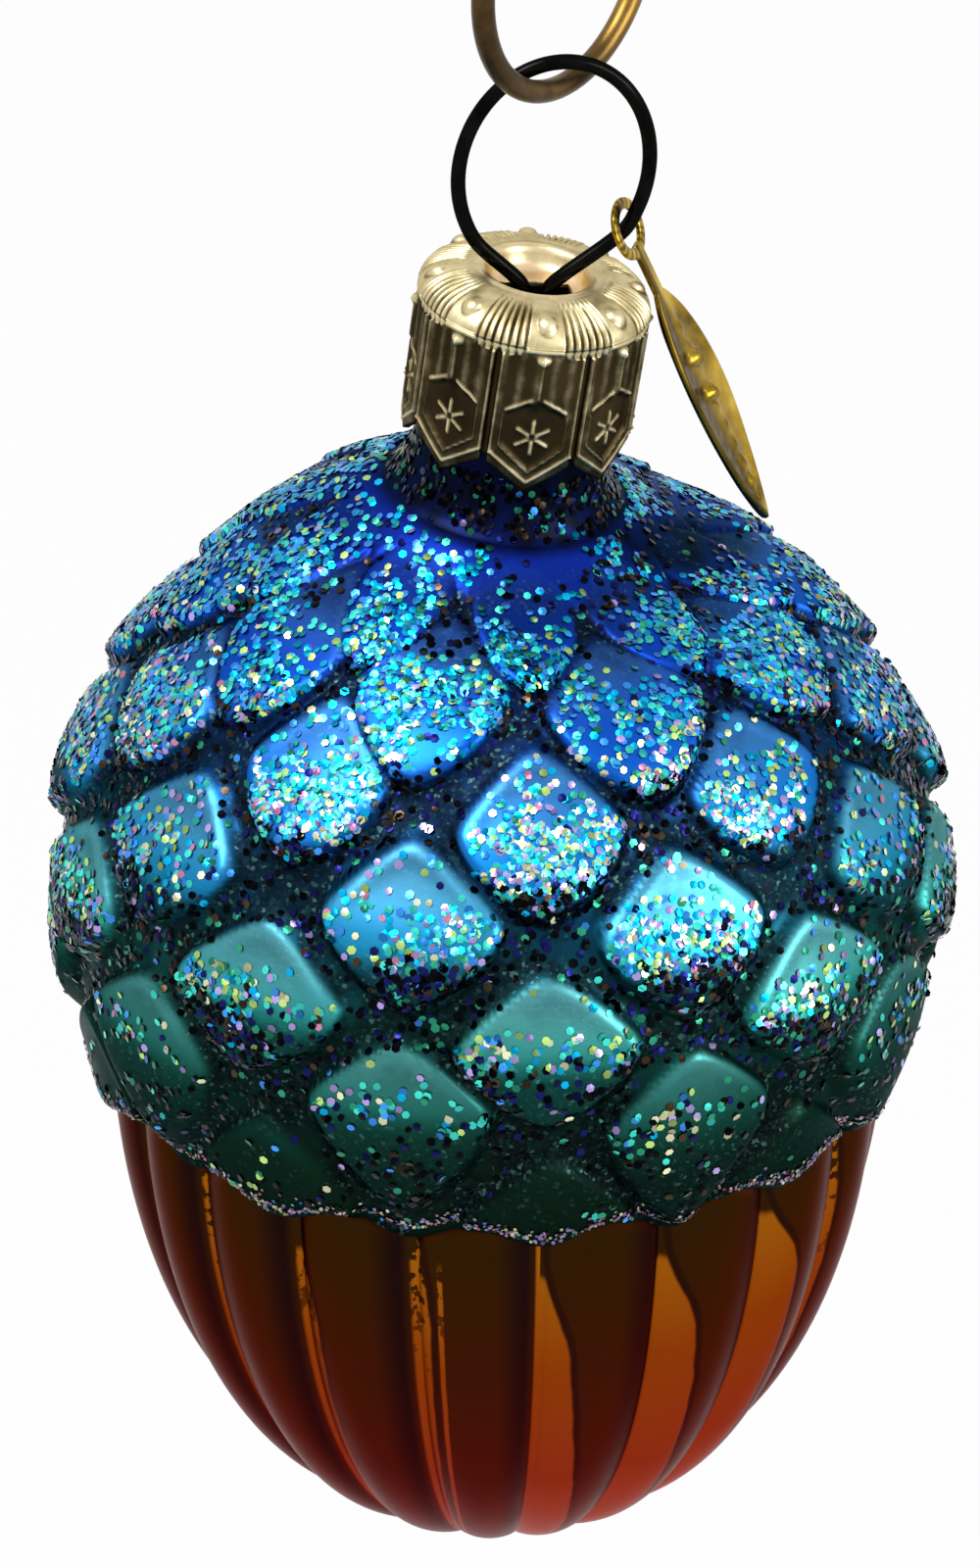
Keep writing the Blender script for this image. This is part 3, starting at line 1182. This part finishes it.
# %% Bronze S-hook
HOOK_WIRE, HOOK_TOP_BEND, HOOK_LOW_BEND, HOOK_LENGTH = 1.15, 5.9, 6.1, 27
HOOK_TURN, HOOK_TIP_RISE = 41, 35
HOOK_SHARE = 0.93  # of the wire's radius, so that it stays inside the model's flat faces
top_middle = HOOK_WIRE / 2 - HOOK_TOP_BEND
low_middle = HOOK_LOW_BEND - HOOK_LENGTH - HOOK_WIRE / 2
slant = math.asin((HOOK_TOP_BEND + HOOK_LOW_BEND) / (top_middle - low_middle))
hook_plane = np.array([math.cos(math.radians(HOOK_TURN)), math.sin(math.radians(HOOK_TURN)), 0])


def bend(radius, middle, turns):
    level_way = radius * np.cos(turns)[:, None] * hook_plane
    return level_way + (middle + radius * np.sin(turns))[:, None] * UP


rise = math.radians(HOOK_TIP_RISE)
top_bend = bend(HOOK_TOP_BEND, top_middle, np.linspace(-rise, math.pi + slant, 60))
low_bend = bend(HOOK_LOW_BEND, low_middle, np.linspace(slant, -rise - math.pi, 60))
stem = np.linspace(top_bend[-1], low_bend[0], 20)[1:-1]
hook_path = MM * np.vstack([top_bend, stem, low_bend])
hook = wire_along("bronze_s_hook", hook_path, MM * HOOK_SHARE * HOOK_WIRE / 2, sides=24)

bronze, wire = finish("aged_bronze_wire")
age = wire.grain(160.0, detail=3.0)
fine = wire.grain(1400.0, detail=2.0)
gold_end = wire.of_mesh("along").rise(0.76, 0.64)
aged = (age + fine * 0.25 - 0.12).ramp((0.3, 38, 29, 18), (0.55, 82, 63, 37), (0.75, 122, 98, 60))
surface(
    wire,
    Base_Color=aged.mixed(paint(184, 146, 66), gold_end * age.rise(0.4, 0.55) * 0.8),
    Metallic=1.0,
    Roughness=0.3 + fine * 0.12,
    Normal=fine.bumped(0.15, 0.00005),
)
dress(hook, "hook", (bronze,), "s_hook")

# %% [markdown]
# ## The leaf tag
# The tag is stamped from thin brass: a slim leaf with a raised rim, a rib and two beads, and an
# eye through which the wire loop passes. Both faces are one grid that goes round the edge, and
# the eye is a flat ring joined on.

# %% Leaf tag
TAG_LENGTH, TAG_WIDTH, TAG_THICKNESS, TAG_RIM, TAG_STEM = 17.2, 3.7, 0.3, 0.2, 3.4
TAG_STEM_WIDTH, TAG_EYE, TAG_EYE_BAND, BEAD_RADIUS = 0.7, 0.95, 0.55, 0.42
TAG_PLACE, TAG_LEAN, TAG_FORWARD, TAG_TWIST = -30, 31.5, 5.5, -33
TAG_ROWS, TAG_ACROSS = 110, 19
tag_drop = Matrix.Rotation(math.radians(-TAG_FORWARD), 3, "X")
tag_drop = tag_drop @ Matrix.Rotation(math.radians(-TAG_LEAN), 3, "Y")
turned = tag_drop @ Matrix.Rotation(math.radians(TAG_TWIST), 3, "Z")
hang = np.array(tag_drop) @ np.array([0, 0, (LOOP_WIRE / 2 + CLEARANCE - TAG_EYE) / 2])


def from_tag(points):
    """From the tag's own frame: faces along X, width along Y, hanging along -Z."""
    hung = np.asarray(points) @ np.array(turned).T + hang
    return from_neck(hung + np.array(loop_point(TAG_PLACE)))


leaf_length = TAG_LENGTH - TAG_STEM
print("the tag hangs from", from_tag([(0, 0, 0)]).round(4).tolist())

# %% Outline and relief of the leaf
stem_rows, leaf_rows = np.linspace(-0.18, 0, 12, endpoint=False), np.linspace(0, 1, TAG_ROWS)
share = np.concatenate([stem_rows, leaf_rows**1.05])
inside = np.clip(share, 0, 1)
half_width = TAG_WIDTH / 2 * np.sin(math.pi * inside**0.8) ** 0.75
half_width = np.maximum(half_width, TAG_STEM_WIDTH / 2 * (1 - inside) + 0.02)
across = np.sin(np.linspace(-1, 1, TAG_ACROSS) * math.pi / 2)
y = half_width[:, None] * across
edge = half_width[:, None] * (1 - np.abs(across))
down = leaf_length * share[:, None] + 0 * y
rim = TAG_RIM / 2 * bump(edge - 0.16, 0.15) * ease(inside / 0.15)[:, None]
rib = 0.16 * bump(y, 0.16) * ease(inside / 0.2)[:, None] * ease((0.97 - inside) / 0.1)[:, None]
veins = 0.05 * np.cos((down - 1.3 * np.abs(y)) * 2 * math.pi / 1.15) * ease((edge - 0.3) / 0.3)
beads = sum(
    np.sqrt(np.maximum(0, BEAD_RADIUS**2 - y**2 - (down - leaf_length * place) ** 2))
    for place in (0.3, 0.45)
)
thick = TAG_THICKNESS / 2 + np.maximum(rim + rib + veins * ease(inside / 0.2)[:, None], 0) + beads
thick = thick * np.sqrt(np.maximum(0.05, 1 - np.abs(across) ** 12))
cup = 0.22 * (y / (TAG_WIDTH / 2)) ** 2  # the leaf is bowed a little across
print("thickest at", thick.max().round(2), "mm from its middle")

# %% Skin of the leaf
z = -TAG_STEM - down
front = np.stack([thick + cup, y, z], -1)
back = np.stack([-thick + cup, y, z], -1)[:, ::-1]
loops_round = np.concatenate([front, back], axis=1)
tips = [loops_round[0].mean(0), loops_round[-1].mean(0) - (0, 0, 0.08)]
tag_faces = capped_skin(len(share), 2 * TAG_ACROSS)
leaf_points = from_tag(np.vstack([loops_round.reshape(-1, 3), tips]))
dull = ease((0.15 - np.concatenate([across, across[::-1]])) / 0.6)  # one side of the leaf is dull
tag_numbers = {"dull": np.append(np.tile(dull, len(share)), [0.5, 0.5])}
tag = new_object("brass_leaf_tag", leaf_points, tag_faces, tag_numbers)
print("points of the leaf", len(leaf_points))

# %% Eye of the tag
EYE_SIDES, EYE_STEPS = 14, 56
ring_turn = 2 * math.pi * np.arange(EYE_STEPS)[:, None] / EYE_STEPS
side_turn = 2 * math.pi * np.arange(EYE_SIDES)[None] / EYE_SIDES
eye_middle = TAG_EYE + TAG_EYE_BAND / 2


def squared(wave):
    """Makes a round section fuller at its corners."""
    return np.sign(wave) * np.abs(wave) ** 0.7


band_r = eye_middle + TAG_EYE_BAND / 2 * squared(np.cos(side_turn))
band_x = TAG_THICKNESS / 2 * squared(np.sin(side_turn)) + 0 * ring_turn
eye_points = np.stack([band_x, band_r * np.sin(ring_turn), band_r * np.cos(ring_turn)], -1)
eye_rings = [EYE_SIDES * k for k in range(EYE_STEPS)]
eye_faces = [face[::-1] for face in skin(eye_rings, EYE_SIDES, close=True)]
eye = new_object("tag_eye", from_tag(eye_points.reshape(-1, 3)), eye_faces)
cut_or_join(tag, eye, "UNION")

# %% Brass
brass, wire = finish("bright_brass")
tarnish = wire.grain(420.0, detail=4.0)
brush = wire.grain(1800.0, detail=2.0)
gold = tarnish.ramp((0.3, 98, 78, 22), (0.5, 168, 136, 42), (0.75, 222, 190, 82))
surface(
    wire,
    Base_Color=gold.mixed(paint(58, 45, 14), wire.of_mesh("dull") * 0.85),
    Metallic=1.0,
    Roughness=0.2 + brush * 0.14,
    Normal=brush.bumped(0.12, 0.00005),
)
dress(tag, "tag", (brass,), "hanging_tag")

# %% [markdown]
# ## Floor, light and camera
# The ornament hangs over a plain white floor. Camera, mirror and glass rays see the floor and
# the sky as white paper, and the floor still takes a soft shadow. One large lamp stands above on
# the left, a weaker one on the right, and the sky fills the rest, so that a colour renders about
# as it is painted.

# %% Camera at the photograph's angle
VIEW_TURN, VIEW_PITCH = -11.0, 28.0
CAMERA_RIGHT, CAMERA_OUT, CAMERA_UP = -0.4, 175.2, 96.5  # millimetres from the glass body's middle
SENSOR, LENS = 36.0, 90.0

view_out = towards(VIEW_TURN)
view_right = np.array([-view_out[1], view_out[0], 0])


def seen_from(right_way, out_way, up_way):
    """A place given as the camera sees it: right, towards the viewer and up, in millimetres."""
    return from_glass(right_way * view_right + out_way * view_out + up_way * UP)


pitch = math.radians(VIEW_PITCH)
camera_back = UP * math.sin(pitch) + view_out * math.cos(pitch)
camera_up = UP * math.cos(pitch) - view_out * math.sin(pitch)
camera = linked("camera", bpy.data.cameras.new("camera"))
camera.data.sensor_fit = "VERTICAL"
camera.data.sensor_height = SENSOR
camera.data.lens = LENS
camera.data.clip_start = 0.005
axes = glass_turn @ np.column_stack([view_right, camera_up, camera_back])
camera_place = Matrix.Translation(seen_from(CAMERA_RIGHT, CAMERA_OUT, CAMERA_UP))
camera.matrix_world = camera_place @ Matrix(axes.tolist()).to_4x4()
bpy.context.scene.camera = camera
print("camera at", [round(x, 4) for x in camera.matrix_world.translation])

# %% Floor
FLOOR_HEIGHT, FLOOR_HALF, FLOOR_STEPS, FLOOR_GLOW = -0.4, 1.5, 8, 0.97
steps = np.linspace(-FLOOR_HALF, FLOOR_HALF, FLOOR_STEPS + 1)
floor_points = [(x, y, FLOOR_HEIGHT) for y in steps for x in steps]
near = [k for k in range(len(steps) * FLOOR_STEPS) if k % len(steps) < FLOOR_STEPS]
floor_faces = [(k, k + 1, k + 2 + FLOOR_STEPS, k + 1 + FLOOR_STEPS) for k in near]
ground = new_object("floor", floor_points, floor_faces)
paper, wire = finish("white_paper")


def seen_white(wire):
    """1 for camera, mirror and glass rays."""
    camera_ray, mirror_ray, glass_ray = (wire.add("LightPath", output=k) for k in (0, 3, 6))
    return wire.math("MAXIMUM", wire.math("MAXIMUM", camera_ray, mirror_ray), glass_ray)


lit = wire.add("BsdfDiffuse", {}, {"Color": paint(236, 236, 236)})
glow = wire.add("Emission", {}, {"Color": (1, 1, 1, 1), "Strength": 1.0})
mixed = wire.add("MixShader", {}, {0: seen_white(wire) * FLOOR_GLOW, 1: lit, 2: glow})
wire.add("OutputMaterial", {}, {"Surface": mixed})
ground.data.materials.append(paper)
print("floor at", FLOOR_HEIGHT, "m with", len(floor_faces), "faces")

# %% Sky and lamps
SKY_FILL = 0.42
world = bpy.data.worlds.new("sky")
bpy.context.scene.world = world
world.use_nodes = True
world.node_tree.nodes.clear()
wire = Wire(world.node_tree)
strength = seen_white(wire) * (1 - SKY_FILL) + SKY_FILL
sky = wire.add("Background", {}, {"Color": (1, 1, 1, 1), "Strength": strength})
wire.add("OutputWorld", {}, {"Surface": sky})


def lamp(name, place, size, power):
    light = bpy.data.lights.new(name, "AREA")
    light.size, light.energy = size, power
    light.shape = "DISK"
    made = linked(name, light)
    made.location = seen_from(*place)
    aim = Vector(glass_place) - made.location
    made.rotation_euler = aim.to_track_quat("-Z", "Y").to_euler()
    print(name, "at", [round(x, 3) for x in made.location])


lamp("key_lamp", (-130, 120, 330), 0.2, 1.5)
lamp("side_lamp", (260, 160, 120), 0.2, 0.8)

bpy.context.scene.view_settings.view_transform = "Standard"
